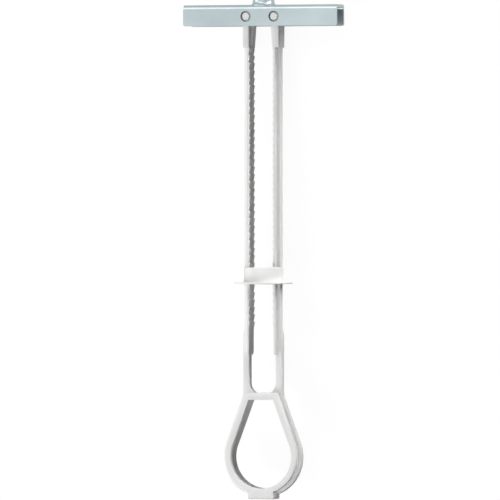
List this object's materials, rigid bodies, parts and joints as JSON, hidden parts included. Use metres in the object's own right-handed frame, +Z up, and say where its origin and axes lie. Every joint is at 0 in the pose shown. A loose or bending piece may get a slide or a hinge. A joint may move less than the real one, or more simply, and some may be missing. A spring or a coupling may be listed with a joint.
{
  "type": "drywall toggle anchor",
  "caption": "Strap toggle anchor for hollow walls: a steel channel on two toothed plastic straps with a sliding ratchet cap and a pull ring.",
  "frame": {"origin": "centre of the threaded hole where the bolt enters it, on the underside of the channel's web", "axes": "+X along the channel, +Y along the bolt towards the back of the wall, +Z up as the anchor lies on its side"},
  "size_m": [0.0476, 0.1495, 0.0174],
  "materials": {
    "zinc_plated_steel": "bright zinc plated sheet steel, smooth",
    "white_plastic": "moulded natural white plastic, semi gloss",
    "cap_plastic": "moulded white plastic, semi gloss"
  },
  "bodies": {
    "strap_left": {"strap_left": "white_plastic"},
    "channel": {"toggle_channel": "zinc_plated_steel"},
    "ring": {"pull_ring": "white_plastic"},
    "strap_right": {"strap_right": "white_plastic"},
    "cap": {"ratchet_cap": "cap_plastic"}
  },
  "joints": [
    {"name": "channel_fold", "type": "hinge", "parent": "strap_left", "child": "channel", "pos_m": [-0.00434, -0.00256, 0], "axis": [0, 0, 1], "range_deg": [0, 64], "deforming": ["strap_right"]},
    {"name": "ring_tilt", "type": "hinge", "parent": "strap_left", "child": "ring", "pos_m": [-0.00434, -0.10875, 0], "axis": [0, 0, 1], "range_deg": [0, 64]},
    {"name": "right_strap_swing", "type": "hinge", "parent": "ring", "child": "strap_right", "pos_m": [0.00434, -0.10875, 0], "axis": [0, 0, 1], "range_deg": [-64, 0]},
    {"name": "cap_slide", "type": "slide", "parent": "strap_left", "child": "cap", "axis": [0, 1, 0], "range_m": [0, 0.064]}
  ],
  "couplings": [
    {"joint": "ring_tilt", "follows": "channel_fold", "ratio": 1},
    {"joint": "right_strap_swing", "follows": "channel_fold", "ratio": -1}
  ]
}
